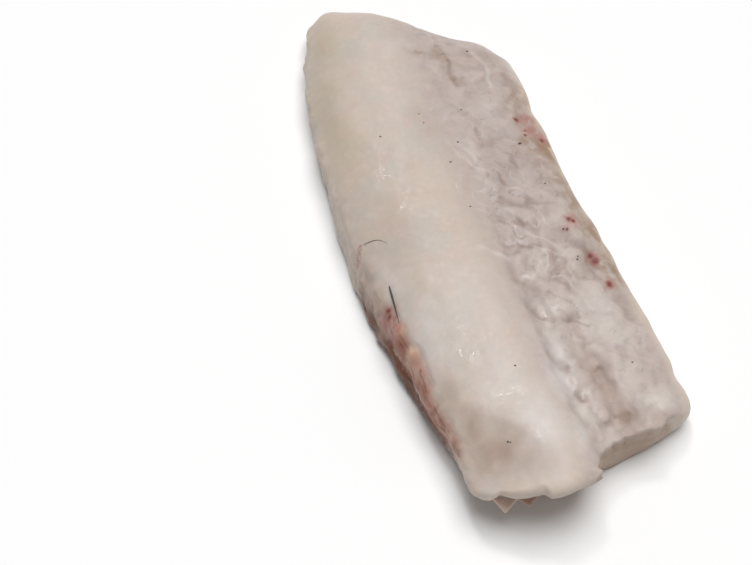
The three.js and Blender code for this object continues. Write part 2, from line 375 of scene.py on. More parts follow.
# Single domes: places, reaches across and along, and heights. Then how round they are, and how much and how
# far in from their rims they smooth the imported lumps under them.
DOMES = (
    (9.4, -31, 5, 4.6, 0.4), (7.5, -52.5, 4, 4.2, 1.0), (16.2, -47.7, 5.4, 5, 0.8),
    (10.4, -64.4, 4.6, 4, 1.0), (12.9, -76.9, 5.2, 4.6, 1.3), (10.6, -88.8, 3.2, 3.6, 1.3),
    (10, -99, 3.2, 4.6, 1.3), (15.8, -92.5, 2.8, 3.2, 1.0), (16.4, -99.5, 2.4, 3, 0.8),
    (20.4, -97, 2.4, 3.4, 0.8), (31.7, -80.4, 6.6, 6.4, 0.9), (38.3, -93, 7.4, 7.6, 1.2),
    (30.7, -60, 7, 6, 0.8), (29.7, -47, 6, 8, 0.8), (18, -84, 3.4, 4, 0.9), (18.5, -71, 3.6, 3.4, 0.8),
    (37.5, -70, 5, 6, 0.7), (12.4, -57.5, 3.4, 3, 0.8), (20.6, -58, 4, 4.6, 0.8),
)
DOME_POWER = 1.1
DOME_COVER = 0.75
DOME_RIM = 0.6

# Packed lumps, big and small: sizes across and along, and height. Then how they stray from their rows, the
# big ones' strength and its swells, and the level that they are measured from.
BIG_LUMPS = (6.8, 7.8, 2.1)
SMALL_LUMPS = (3.4, 3.8, 0.4)
LUMP_STRAY = ((8, 8, 2.2, (0, 40), (80, 0)), (3, 3, 0.9, (11, 0), (0, 23)))
LUMP_STRENGTH = 0.8
LUMP_VARIETY = 0.45
VARIETY_SIZE = 17
VARIETY_START = 31
LUMP_LEVEL = 0.5

# The edge of the ridge: its swings aside, and the spans across it, in the far and the near half, where lumps
# and wrinkles set in and the flesh turns lean. Far lumps and those by the right wall are calmer.
EDGE_SWINGS = ((9, 0.5, 2.2), (4, 7.5, 1.0))
ROUGH_SPANS = ((-10, 7), (-3, 4))
WRINKLE_SPANS = ((-14, 0), (-6, 3))
LEAN_SPANS = ((-22, 8), (-15, 5))
FAR_ROUGHNESS = 0.6
RIM_SPAN = (0.78, 0.94)
RIM_CALM = 0.5

# The ridge's ripples, its edge's lip, cleft and cleft shade, as places, reaches and heights, and its drop
RIPPLES = ((9, 13, 0.35), (4.2, 5.4, 0.14), (2, 2.6, 0.05))
LIP = (-3, 3.5, 0.6)
CLEFT = (1, 1.8, 0.3)
CLEFT_SHADE = (1, 1.8, 0.4)
DROP_SPAN = (-2.5, 2.5)
DROP_DEPTH = 0.6
# Spans of the bone side's relief for painted shade in its hollows and painted light on its lump tops
HOLLOW_SHADE_SPAN = (-0.1, 0.7)
LIT_TOP_SPAN = (0.05, 0.8)

# Wrinkles: the way that most run, where across the edge they thin out and by how much, the sunken ones'
# depth, the raised ones' height, and the patches of sunken ones, with raised ones between. Each kind: sizes
# along and aside, start in the swells, thinness, span along the block where it sets in, share before that,
# span where it fades, and share lost.
WRINKLE_WAY = math.radians(-48)
WRINKLE_FADE = (14, 26)
WRINKLE_LOSS = 0.6
WRINKLE_DEPTH = 0.14
MEMBRANE_HEIGHT = 0.06
PATCH_SIZE = 10
PATCH_START = 17
PATCH_SPAN = (-0.2, 0.5)
SUNKEN = (8, 3, 3, 0.78, (-85, -60), 0.25, (12, 40), 0.85)
RAISED = (9, 3.4, 41, 0.82, (-75, -45), 0, (15, 50), 0.6)


def wrinkles(x, y, from_middle, kind):
    """Meandering lines from 0 to 1: where soft swells, drawn out along the wrinkles' way, cross 0."""
    size_along, size_aside, start, thin, set_in, first_share, fade, loss = kind
    along = x * math.cos(WRINKLE_WAY) + y * math.sin(WRINKLE_WAY)
    aside = y * math.cos(WRINKLE_WAY) - x * math.sin(WRINKLE_WAY)
    lines = 1 - np.abs(swells(along / size_along + start, aside / size_aside + 2 * start))
    share = blend(first_share, 1, smooth(from_middle, *set_in)) * (1 - loss * smooth(from_middle, *fade))
    return smooth(lines, thin, 1) * share


def past_edge(edge, near, spans):
    """How far a place lies past the edge of the ridge, over a span that differs between the halves."""
    (far_start, far_full), (near_start, near_full) = spans
    return smooth(edge, blend(far_start, near_start, near), blend(far_full, near_full, near))


def bone_side_detail(x, y, across, off_groove):
    """Heights of the bone side: packed lumps and single domes on the lumpy side, ripples on the ridge, its
    scalloped edge, and the wrinkles, creases, folds and crevices. Also masks of what shows, with painted
    shade in the hollows, cleft, crevices and creases and painted light on the lump tops."""
    near, overhang = near_share(y), overhang_share(y)
    edge = off_groove + overhang * wandering(y, EDGE_SWINGS)
    rough = past_edge(edge, near, ROUGH_SPANS) * blend(FAR_ROUGHNESS, 1, near)
    rough = rough * (1 - RIM_CALM * smooth(across, *RIM_SPAN))
    stray_x, stray_y = strayed(x, y, LUMP_STRAY)
    strength = LUMP_STRENGTH + LUMP_VARIETY * swells(x / VARIETY_SIZE + VARIETY_START, y / VARIETY_SIZE)
    packed = -LUMP_LEVEL
    for (size_x, size_y, height), share in ((BIG_LUMPS, strength), (SMALL_LUMPS, 1)):
        packed = packed + height * share * lumps(stray_x / size_x, stray_y / size_y)
    domes, covered, deep = 0 * x, 0 * x, 0 * x
    for dome_x, dome_y, reach_x, reach_y, height in DOMES:
        inside = np.clip(1 - ((x - dome_x) / reach_x) ** 2 - ((y - dome_y) / reach_y) ** 2, 0, 1)
        domes += height * inside ** DOME_POWER
        covered = np.maximum(covered, smooth(inside, 0, DOME_RIM))
    for points in CREVICES:
        deep = np.maximum(deep, bell(line_distance(x, y, points), CREVICE_WIDTH))
    local = rough * packed * (1 - DOME_COVER * covered) + domes - CREVICE_DEPTH * deep

    zone = past_edge(edge, near, WRINKLE_SPANS) * (1 - WRINKLE_LOSS * smooth(edge, *WRINKLE_FADE))
    patchy = smooth(swells(x / PATCH_SIZE + PATCH_START, y / PATCH_SIZE), *PATCH_SPAN)
    crease = zone * patchy * wrinkles(stray_x, stray_y, y, SUNKEN)
    membrane = zone * (1 - patchy) * wrinkles(stray_x, stray_y, y, RAISED)
    ragged = LINE_STRENGTH + layered(x, y, LINE_SWELLS)
    half_x, half_y = (x + stray_x) / 2, (y + stray_y) / 2
    for points, width, height in FINE_LINES:
        line = ragged * bell(line_distance(half_x, half_y, points), width)
        if height > 0:
            membrane = np.maximum(membrane, line)
        else:
            crease = np.maximum(crease, line)
        local += height * line
    local += MEMBRANE_HEIGHT * membrane - WRINKLE_DEPTH * crease

    step = overhang * (bulge(edge, *LIP) - DROP_DEPTH * smooth(edge, *DROP_SPAN) - bulge(edge, *CLEFT))
    fold = NOSE_FOLD_HEIGHT * bell(line_distance(x, y, NOSE_FOLD), NOSE_FOLD_WIDTH)
    furrow = bell(line_distance(x, y, (FURROW_START, FURROW_END)), FURROW_DARKENING)
    # Painted shade: darker in the hollows between lumps, in the cleft under the ridge's edge and in the
    # crevices, which are partly brown
    hollow_shade = np.maximum(rough * smooth(-local, *HOLLOW_SHADE_SPAN), overhang * bulge(edge, *CLEFT_SHADE))
    masks = {
        "lean": past_edge(edge, near, LEAN_SPANS),
        "hollow_shade": np.maximum(hollow_shade, deep),
        "furrow": furrow * (1 - smooth(y, *FURROW_DARKENING_FADE)),
        "proud_lit": rough * smooth(local, *LIT_TOP_SPAN),
        "crease": crease,
        "membrane": membrane,
    }
    return local + (1 - rough) * layered(x, y, RIPPLES) + step + fold, masks


# The crease between the ridge's flank and the red of the left wall, from near to far, its swings aside, and
# how the red sets in
CREASE_Y = (-96, -84, -70, -59, -48, -44, -35, -25, -17, -3)
CREASE_X = (-34, -37.6, -40.3, -41.2, -40, -41.9, -42.7, -44, -45.3, -46.8)
CREASE_SWINGS = ((6, 0, 1.1), (2.4, 3, 0.6))
CREASE_DEPTH = 0.6
CREASE_WIDTH = 1.4
RED_SPAN = (-2, 2.6)

# The red's ragged ends: swells along, leaning and upright, and reach. Then the spans along the block where it
# sets in, pales by a share, and ends, and those up and along of the red hem that goes on.
RED_RAGS = ((8, 6, 5, 6), (3, -4, 2, 4))
RED_NEAR = (-99, -75)
RED_PALE = (-36, -16)
RED_PALE_SHARE = 0.5
RED_FAR = (-14, 2)
HEM_TOP = (8, 11)
HEM_NEAR = (-40, -22)
HEM_FAR = (-22, 0)


def left_wall(x, y, z):
    """How far a place belongs to the red left wall, beyond the crease, or to its hem, and to the crease."""
    off_crease = np.interp(y, CREASE_Y, CREASE_X) + wandering(y, CREASE_SWINGS) - x
    ragged = y + sum(reach * swells(y / along + z / lean, z / up) for along, lean, up, reach in RED_RAGS)
    length = smooth(ragged, *RED_NEAR) * (1 - RED_PALE_SHARE * smooth(ragged, *RED_PALE))
    length = length * (1 - smooth(y, *RED_FAR))
    hem = (1 - smooth(z, *HEM_TOP)) * smooth(y, *HEM_NEAR) * (1 - smooth(ragged, *HEM_FAR)) * (x < 0)
    return np.maximum(smooth(off_crease, *RED_SPAN) * length, hem), bell(off_crease, CREASE_WIDTH) * length


# The walls' muscle strands: sizes along and up, and heights. The right edge's dents: places, reaches, depths.
RAGGED_STRANDS = ((9, 4, 0.8), (4, 1.8, 0.5), (1.8, 1.2, 0.25))
SOFT_STRANDS = ((17, 9, 0.8), (7, 4, 0.35))
EDGE_DENTS = ((-82, 5, 1.4), (44, 6, 1.5))


def wall_detail(x, y, z):
    """Muscle strands along a wall: stretched swells, ragged on the left, and soft with dents on the right."""
    soft = layered(y, z, SOFT_STRANDS)
    for dent in EDGE_DENTS:
        soft -= bulge(y, *dent)
    return np.where(x < 0, layered(y, z, RAGGED_STRANDS), soft)


# The cut ends' flakes: the middle that their layers bend round, in x and z, the layers' stretch upwards and
# thickness, the flakes in a radian and their height, and soft swells
FLAKE_MIDDLE = (-12, -10)
LAYER_STRETCH = 1.6
LAYER_THICKNESS = 5
FLAKES_ROUND = 4
FLAKE_HEIGHT = 0.8
CUT_SWELLS = ((7, 5, 0.5),)


def cut_detail(x, z):
    """Flakes of a cut end: packed lumps drawn out along curved layers, with soft swells."""
    aside, above = x - FLAKE_MIDDLE[0], z - FLAKE_MIDDLE[1]
    layer = np.hypot(aside, LAYER_STRETCH * above) / LAYER_THICKNESS
    return FLAKE_HEIGHT * lumps(layer, FLAKES_ROUND * np.arctan2(above, aside)) + layered(x, z, CUT_SWELLS)


# The near cut: the lumpy side's torn edge, as sizes and depths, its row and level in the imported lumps, and
# where it lies, from the groove and up. Then the ridge's ragged corner: sizes along and up, and reach.
NEAR_CUT_REACH = 0.02
LIP_SCALLOPS = ((9, 3.4), (3.4, 2.4))
SCALLOP_ROW = 0.3
SCALLOP_LEVEL = 0.4
TORN_SPAN = (-2, 6)
TORN_RISE = (0.4, 0.9)
CORNER_RAGS = ((1.5, 1.7, 1.5),)
CORNER_REACH = 4

# The notch in the ridge's lip, from left to right, and its depths, the bulge beside it and that of the far
# lip, each a place, a reach and a depth, and the chin left of the notch
NOTCH_SIDES = (-33, -30, -16, -14)
NOTCH_DEPTHS = (2.6, 1.0)
NOTCH_RISE = (0.05, 0.3)
LIP_BULGE = (-10, 9, 1.4)
FAR_BULGE = (21, 9, 2.0)
FAR_CUT_REACH = 0.04
CHIN = (-34.5, -106, 20)
CHIN_REACH = 5
CHIN_HEIGHT = 1.2


def lip_moves(x, y, z, s, rise, off_groove):
    """How far the cuts' lips move across and along: the ragged corner, the torn edge, notch and bulges."""
    near_cut = bell(s, NEAR_CUT_REACH)
    across = layered(y, z, CORNER_RAGS) * near_cut * bell(off_groove, CORNER_REACH)
    torn = smooth(off_groove, *TORN_SPAN) * near_cut * smooth(rise, *TORN_RISE)
    along = bulge(x, *FAR_BULGE) * bell(1 - s, FAR_CUT_REACH)
    for size, depth in LIP_SCALLOPS:
        along -= depth * (lumps(x / size, SCALLOP_ROW + 0 * x) - SCALLOP_LEVEL) * torn
    left_start, deepest, shallowest, right_end = NOTCH_SIDES
    past_notch = smooth(x, shallowest, right_end)
    notch = np.interp(x, (deepest, shallowest), NOTCH_DEPTHS)
    notch = notch * smooth(x, left_start, deepest) * (1 - past_notch)
    along += (notch - past_notch * bulge(x, *LIP_BULGE)) * near_cut * smooth(rise, *NOTCH_RISE)
    return across, along


# Where the flesh is paler, warmer, brown, yellow, wet or golden: places, reaches across and along, strengths.
# The pale places are partly paler flesh and partly painted light, on the crest and on the flank of the step
# down from the ridge.
# Then how the edges of these places stray.
PALE_AND_LIT_PLACES = (
    (-18, 66, 9, 24, 0.15), (-19, -42, 11, 24, 0.3), (-17, -68, 10, 17, 0.5), (-8, -92, 8, 16, 0.75),
    (-33, -107, 6, 4, 0.6), (38, -94, 6, 7, 0.3), (31, -52, 8, 12, 0.2), (-8, 86, 6, 5, 0.3),
    (5, -74, 4.5, 16, 0.85), (4, -98, 4, 10, 0.5), (11, -94, 4, 10, 0.2), (22, 46, 7, 7, 0.2),
    (-34, -44, 7, 16, 0.5), (-41, -16, 5, 9, 0.45), (-26, 22, 5, 6, 0.15),
)
WARM_PLACES = (
    (-26, -97, 10, 9, 1.0), (-31, -86, 6, 8, 0.8), (-37, -70, 4, 8, 0.5), (-15, -104, 8, 6, 0.5),
    (34, -102, 7, 5, 0.55), (20, -34, 6, 6, 0.4), (-33, 4, 7, 16, 0.2), (-8, 45, 5, 8, 0.25),
    (34, 34, 5, 8, 0.7),
)
BROWN_PLACES = (
    (11.5, 75, 3.4, 8, 0.6), (12, 63, 3, 5, 0.45), (1.2, 81, 2, 2, 0.6), (22, 70, 8, 6, 0.4),
    (33, 48, 6, 12, 0.6), (31, 64, 4, 8, 0.5), (30, 25, 5, 6, 0.9), (38, 25, 7, 10, 1.2),
    (37.5, 3, 5, 12, 0.95), (38.5, -20, 5, 12, 0.95), (40, -36, 6, 10, 0.95), (27, -35, 4, 5, 0.4),
)
YELLOW_PLACES = ((-34, 98, 6, 14, 0.55), (-40, 62, 6, 30, 0.5), (12, 37, 5, 3, 0.6), (19, 35, 4, 3, 0.45))
WET_PLACES = (
    (-25, 103, 5, 4, 1), (-31, 27, 4, 4, 1), (-27, 13, 5, 5, 1), (-25, -55, 4, 4, 0.8),
    (-23, -46, 4, 3, 0.8), (-15.6, -78, 3, 4, 0.6), (-8.3, -94.7, 4, 4, 0.3), (8, -11, 7, 12, 1),
    (8.6, -50, 6, 7, 1), (12, -82, 5, 8, 1), (37.8, -95.5, 3, 3, 0.8), (21, -32, 6, 6, 0.7),
    (12, -30, 6, 9, 0.7), (26, 25, 4, 4, 0.4),
)
GOLD_PLACES = ((-42.2, -46.4, 1.6, 2.2, 1.0), (-43.4, -36.5, 1.6, 2.6, 0.5))
PLACE_STRAY = ((9, 11, 3, (3, 0), (0, 7)), (4, 4, 1.5, (0, 9), (5, 0)))


def patches(x, y, places):
    """A soft mask: the largest of several bells."""
    mask = np.zeros_like(x)
    for place_x, place_y, reach_x, reach_y, strength in places:
        mask = np.maximum(mask, strength * bell(x - place_x, reach_x) * bell(y - place_y, reach_y))
    return mask


# What counts as cut, wall, top and so on: spans in from a cut's rim, of the width and of the height. Then the
# level below which the foot stays flat.
CUT_RIM = (0, 0.08)
WALL_SPAN = (0.88, 0.97)
TOP_RISE = (0.75, 0.95)
UPPER_RISE = (0.3, 0.5)
GOLD_RISE = (0.3, 0.6)
BROWN_RISE = (0.4, 0.8)
YELLOW_RISE = (0.3, 0.8)
UNDER_RISE = (0.03, 0.12)
FOOT_LEVEL = (0.4, 3)


def loin_grid():
    """The broad form in the frame's box, pushed out along its normals by the detail of each side."""
    p, q = square_edge()
    s, span = row_places()
    p, s = np.meshgrid(p, s)
    q, span = np.meshgrid(q, span)
    points, across, rise, off_groove = broad_form(p, q, s, span)
    points = fitted(points, LOIN_LOW, LOIN_HIGH)
    normals = outward(points)
    x, y, z = np.moveaxis(points, -1, 0)

    cut = smooth(1 - span, *CUT_RIM)
    wall = smooth(np.abs(across), *WALL_SPAN) * (1 - cut)
    top = smooth(rise, *TOP_RISE) * (1 - wall) * (1 - cut)
    bone_side, masks = bone_side_detail(x, y, across, off_groove)
    red_wall, wall_crease = left_wall(x, y, z)
    gold = smooth(rise, *GOLD_RISE) * patches(x, y, GOLD_PLACES)
    detail = top * bone_side + wall * wall_detail(x, y, z) + cut * cut_detail(x, z)
    detail += CHIN_HEIGHT * bell(np.linalg.norm(points - CHIN, axis=-1), CHIN_REACH)
    detail += gold - CREASE_DEPTH * wall_crease
    lip_across, lip_along = lip_moves(x, y, z, s, rise, off_groove)
    moves = np.stack([lip_across, lip_along, 0 * x], axis=-1)
    pushed = points + (smooth(z, *FOOT_LEVEL) * detail)[..., None] * normals + moves

    place = strayed(x, y, PLACE_STRAY)
    under = (1 - smooth(rise, *UNDER_RISE)) * (1 - cut)
    fields = {name: top * mask for name, mask in masks.items()}
    fields |= {
        "pale_and_lit": top * patches(*place, PALE_AND_LIT_PLACES),
        "warm": top * patches(*place, WARM_PLACES),
        "brown": smooth(rise, *BROWN_RISE) * (1 - cut) * patches(*place, BROWN_PLACES),
        "yellow": smooth(rise, *YELLOW_RISE) * (1 - cut) * patches(*place, YELLOW_PLACES),
        "wet": top * patches(*place, WET_PLACES),
        "gold": gold,
        "cut": cut,
        "under": under,
        "red_wall": red_wall * (1 - under),
        "upper": smooth(rise, *UPPER_RISE),
    }
    return pushed, fields


def closed_mesh(name, grids, fields=None):
    """One mesh of one or more grids, each closed round its columns and by fans to a point at both ends."""
    grids = np.asarray(grids)
    count, rows, columns = grids.shape[:3]
    ends = grids[:, (0, -1)].mean(axis=2)
    corners = np.concatenate([grids.reshape(count, -1, 3), ends], axis=1)
    index = np.arange(rows * columns).reshape(rows, columns)
    after = np.roll(index, -1, axis=1)
    quads = np.stack([index[:-1], after[:-1], after[1:], index[1:]], axis=-1).reshape(-1, 4)
    near_fan = np.stack([np.full(columns, rows * columns), after[0], index[0]], axis=-1)
    far_fan = np.stack([np.full(columns, rows * columns + 1), index[-1], after[-1]], axis=-1)
    first = (rows * columns + 2) * np.arange(count)[:, None, None]
    four_sided = (first + quads).reshape(-1, 4).tolist()
    three_sided = (first + np.concatenate([near_fan, far_fan])).reshape(-1, 3).tolist()
    mesh = bpy.data.meshes.new(name)
    mesh.from_pydata(corners.reshape(-1, 3) * MM, [], four_sided + three_sided)
    mesh.shade_smooth()
    for field_name, values in (fields or {}).items():
        values = values.reshape(count, rows, columns)
        padded = np.concatenate([values.reshape(count, -1), values[:, (0, -1)].mean(axis=2)], axis=1)
        attribute = mesh.attributes.new(field_name, "FLOAT", "POINT")
        attribute.data.foreach_set("value", padded.ravel().astype(np.float32))
    made = bpy.data.objects.new(name, mesh)
    bpy.context.scene.collection.objects.link(made)
    return made


loin_points, loin_fields = loin_grid()
loin = closed_mesh("loin_flesh", [loin_points], loin_fields)


def colour(red, green, blue):
    """A colour as seen on screen, from 0 to 255, as the linear colour that a shader takes."""
    share = np.array([red, green, blue]) / 255
    linear = np.where(share <= 0.04045, share / 12.92, ((share + 0.055) / 1.055) ** 2.4)
    return (*linear.tolist(), 1.0)


def add_node(tree, kind, inputs=None, **settings):
    """A shader node of a kind with its settings, and with each input linked to a socket or set to a value."""
    made = tree.nodes.new("ShaderNode" + kind)
    for name, value in settings.items():
        setattr(made, name, value)
    for name, value in (inputs or {}).items():
        if isinstance(value, bpy.types.NodeSocket):
            tree.links.new(value, made.inputs[name])
        else:
            made.inputs[name].default_value = value
    return made


def reckoned(tree, operation, *values, kind="Math"):
    """The result of one operation on some values or, of the kind VectorMath, on vectors."""
    return add_node(tree, kind, dict(enumerate(values)), operation=operation).outputs[0]


def ramp(tree, value, start, full):
    """A mask that is 0 up to start and 1 from full on, eased between."""
    made = add_node(tree, "MapRange", {"Value": value, "From Min": start, "From Max": full},
                    interpolation_type="SMOOTHSTEP")
    return made.outputs["Result"]


def times(tree, one, other):
    """The product of two values."""
    return reckoned(tree, "MULTIPLY", one, other)


def tinted(tree, below, above, mask):
    """The colour above laid over the colour below by a mask."""
    made = add_node(tree, "Mix", {0: mask, 6: below, 7: above}, data_type="RGBA")
    return made.outputs[2]


def stretched(tree, vector, factors):
    """A vector with each of its parts multiplied by a factor."""
    return reckoned(tree, "MULTIPLY", vector, factors, kind="VectorMath")


def moved(tree, vector, way, reach):
    """A vector moved along another by a reach."""
    return reckoned(tree, "MULTIPLY_ADD", way, (reach,) * 3, vector, kind="VectorMath")


def noise(tree, place, size, detail=2.0):
    """A soft noise with lumps of a size in millimetres: its values, from 0 to 1, and its colours."""
    made = add_node(tree, "TexNoise", {"Vector": place, "Scale": 1 / size, "Detail": detail})
    return made.outputs["Fac"], made.outputs["Color"]


def pushes(tree, place, size):
    """Soft vectors to move places by, with parts from -0.5 to 0.5."""
    return reckoned(tree, "SUBTRACT", noise(tree, place, size, 3.0)[1], (0.5,) * 3, kind="VectorMath")


def field(tree, name):
    """One of the mesh's own fields."""
    return add_node(tree, "Attribute", attribute_name=name).outputs["Fac"]


def new_material(name):
    """A material with its node tree, its shader, and the places on the part in millimetres."""
    material = bpy.data.materials.new(name)
    material.use_nodes = True
    tree = material.node_tree
    metres = add_node(tree, "TexCoord").outputs["Object"]
    return material, tree, tree.nodes["Principled BSDF"], stretched(tree, metres, (1 / MM,) * 3)


STAIN_MIDDLE = 0.1


def stains(tree, place, spots):
    """The larger of soft masks round spots, each a place seen from above and the size where its mask ends."""
    mask = 0.0
    for x, y, size in spots:
        apart = add_node(tree, "VectorMath", {0: place, 1: (x, y, 0)}, operation="DISTANCE").outputs["Value"]
        mask = reckoned(tree, "MAXIMUM", mask, ramp(tree, apart, size, STAIN_MIDDLE * size))
    return mask


# Flesh colours
WARM_FLESH = colour(202, 188, 175)
COOL_FLESH = colour(196, 186, 176)
ROSY_FLESH = colour(201, 182, 170)
LEAN_FLESH = colour(186, 172, 165)
GREY_LEAN = colour(175, 161, 156)
PALE_FLESH = colour(219, 212, 209)
YELLOW_FLESH = colour(186, 172, 148)
DENT_FLESH = colour(172, 151, 139)
LIT_LUMP_TOP = colour(206, 195, 187)
# Painted shade for crevices and creases, and the colour of the veins
CREVICE_SHADE_AND_VEINS = colour(138, 116, 102)
MEMBRANE = colour(218, 209, 203)
BROWN_FLESH = colour(156, 130, 108)
CUT_FLESH = colour(176, 153, 136)
CUT_LINE = colour(190, 170, 155)
WALL_PINK = colour(182, 145, 130)
WALL_RED = colour(156, 101, 84)
WALL_BROWN = colour(108, 62, 36)
GOLD = colour(222, 188, 158)
BLOOD_HALO = colour(170, 116, 108)
BLOOD_CORE = colour(122, 46, 42)
SKIN_SIDE = colour(200, 182, 164)
SKIN_SIDE_LINE = colour(160, 138, 118)
SKIN_SIDE_RED = colour(150, 112, 92)

# Noises: how the places are stretched, the size of the lumps and their detail
NOISES = {
    "broad": ((1, 1, 1), 24, 2),
    "middling": ((1, 1, 1), 9, 3),
    "small": ((1, 1, 1), 4.5, 3),
    "fine": ((1, 1, 1), 2.2, 4),
    "strands": ((1, 0.2, 1), 1.6, 3),
    "veins": ((1, 1, 1), 7, 4),
    "threads": ((1.2, 0.9, 1), 6, 4),
    "drops": ((1, 1, 1), 1.5, 3),
    "grain": ((1, 1, 1), 0.9, 3),
}

# Tints, in the order in which they are laid on: the colour, its strength, and the field and the noise, with
# its start and full, that it follows
FLESH_TINTS = (
    (COOL_FLESH, 1, None, ("broad", 0.38, 0.66)),
    (ROSY_FLESH, 0.7, None, ("middling", 0.45, 0.65)),
    (PALE_FLESH, 0.2, None, ("small", 0.5, 0.7)),
    (YELLOW_FLESH, 1, "yellow", None),
)
LEAN_TINTS = ((GREY_LEAN, 1, None, ("small", 0.42, 0.7)),)
PLACE_TINTS = (
    # Painted light: the lump tops paler
    (LIT_LUMP_TOP, 0.6, "proud_lit", None),
    # Partly paler flesh, partly painted light
    (PALE_FLESH, 1, "pale_and_lit", None),
    (DENT_FLESH, 1, "warm", None),
    (DENT_FLESH, 0.7, "furrow", None),
    (BROWN_FLESH, 1, "brown", ("small", 0.25, 0.6)),
)
CUT_TINTS = ((CUT_LINE, 1, None, ("strands", 0.55, 0.75)),)
# Painted shade in the hollows, the cleft, the crevices, which are partly brown, and the sunken creases. The
# raised membranes are paler flesh.
LINE_TINTS = (
    (CREVICE_SHADE_AND_VEINS, 0.45, "hollow_shade", None),
    (CREVICE_SHADE_AND_VEINS, 0.5, "crease", None),
    (MEMBRANE, 0.45, "membrane", None),
)
WALL_TINTS = (
    (WALL_RED, 1, None, ("middling", 0.4, 0.62)),
    (WALL_BROWN, 0.5, None, ("strands", 0.52, 0.64)),
)

# Veins and membrane threads of the lumpy side, lines where a noise passes its middle: their colour and noise,
# their width in it, the span of the small noise where they show, and their strength
THREADS = (
    (CREVICE_SHADE_AND_VEINS, "veins", 0.02, (0.5, 0.66), 0.22),
    (MEMBRANE, "threads", 0.016, (0.5, 0.35), 0.3),
)

# The brown foot of the left wall: the levels between which it starts, and how far these wander
BROWN_LEVELS = (12.5, 9.5)
BROWN_WANDER = 7
WANDER_SIZE = 2.4
GOLD_STRENGTH = 0.65

# The skin side, in millimetres: how far apart its muscle segments' lines are, how much they bend back from
# its middle and their half width, the dark stripe's reach, and the drift of both. Then the tints of lines,
# paler flesh and stripe: their strengths and the spans of the middling noise where they show.
SEGMENT_LENGTH = 13
SEGMENT_BEND = 0.8
SEGMENT_LINE = 1.3
STRIPE_REACH = (9, 1)
DRIFT_SIZE = 20
DRIFT_REACH = 26
SKIN_TINTS = (
    (SKIN_SIDE_LINE, 0.6, (0.7, 0.3)),
    (PALE_FLESH, 0.4, (0.5, 0.75)),
    (SKIN_SIDE_RED, 0.8, (0.3, 0.6)),
)

# Where blood lies, seen from above, and the sizes of its halos and dark middles. Then the colours, strengths,
# wander of the edges, and span of the fine noise where each shows, which is everywhere for the middles.
BLOOD_HALOS = (
    (34, 38, 6), (32.5, 33, 6), (36, 29, 5), (29.5, 38.3, 3.5), (32.9, -12.6, 4.6), (29.5, -15.8, 2.6),
    (35.4, -29.6, 4.8), (37.7, -42.4, 4.2), (-45.3, -28.5, 5.5), (-44.6, -35, 4), (-47.2, 3.4, 1.1),
    (-47.7, 2.4, 1.1), (-48.2, 1.4, 1.1), (-48.7, 0.4, 1.1), (-49.1, -0.6, 1.1),
)
BLOOD_MIDDLES = (
    (28.7, 38.3, 1.8), (30.3, 32.7, 1), (29.7, 30.1, 1), (35.9, 28, 1.7), (32, -11.9, 1.8),
    (33.4, -13, 1.7), (29.7, -16, 0.9), (35, -28.4, 2.2), (36, -30.8, 2.5), (37.5, -41.9, 2.2),
    (-44.8, -26, 1.8), (-45, -28.2, 1.3),
)
BLOOD = (
    (BLOOD_HALO, 0.72, 4, (0.3, 0.56), BLOOD_HALOS),
    (BLOOD_CORE, 0.9, 1.8, (-1, 0), BLOOD_MIDDLES),
)

# The surface: shader values, the spans of the middling and the fine noise where it is wet, the wet's weight,
# the span in wet places, the fine noise's change of brightness, and the bumps
SURFACE = {
    "Roughness": 0.5,
    "Specular IOR Level": 0.3,
    "Subsurface Weight": 0.5,
    "Subsurface Radius": (1.0, 0.6, 0.45),
    "Subsurface Scale": 2.6 * MM,
    "Coat Roughness": 0.08,
}
WET_MIDDLING = (0.45, 0.6)
WET_FINE = (0.48, 0.58)
WET_WEIGHT = 0.15
WET_PLACE_FINE = (0.44, 0.5)
BRIGHTNESS = {"From Min": 0.3, "From Max": 0.7, "To Min": 0.975, "To Max": 1.025}
GRAIN_BUMP = {"Strength": 0.3, "Distance": 0.2 * MM}
VEIN_BUMP = {"Strength": 0.4, "Distance": 0.3 * MM}
DROP_BUMP = {"Strength": 0.8, "Distance": 0.6 * MM}


def skin_side(tree, place, mottle):
    """The skin side's colour: smooth flesh with the bent lines of its muscle segments and a dark stripe."""
    parts = add_node(tree, "SeparateXYZ", {"Vector": place}).outputs
    aside = reckoned(tree, "ABSOLUTE", parts["X"])
    bent = reckoned(tree, "MULTIPLY_ADD", aside, SEGMENT_BEND, parts["Y"])
    apart = reckoned(tree, "PINGPONG", bent, SEGMENT_LENGTH / 2)
    masks = (ramp(tree, apart, SEGMENT_LINE, 0.0), 1.0, ramp(tree, aside, *STRIPE_REACH))
    made = SKIN_SIDE
    for mask, (tint, strength, span) in zip(masks, SKIN_TINTS):
        shown = times(tree, ramp(tree, mottle, *span), mask)
        made = tinted(tree, made, tint, times(tree, shown, strength))
    return made


def laid(tree, noises, below, tints):
    """A colour with tints laid over it, each by its strength, its field and its noise, multiplied."""
    for tint, mask, field_name, pattern in tints:
        if field_name:
            mask = times(tree, field(tree, field_name), mask)
        if pattern:
            noise_name, start, full = pattern
            mask = times(tree, ramp(tree, noises[noise_name], start, full), mask)
        below = tinted(tree, below, tint, mask)
    return below


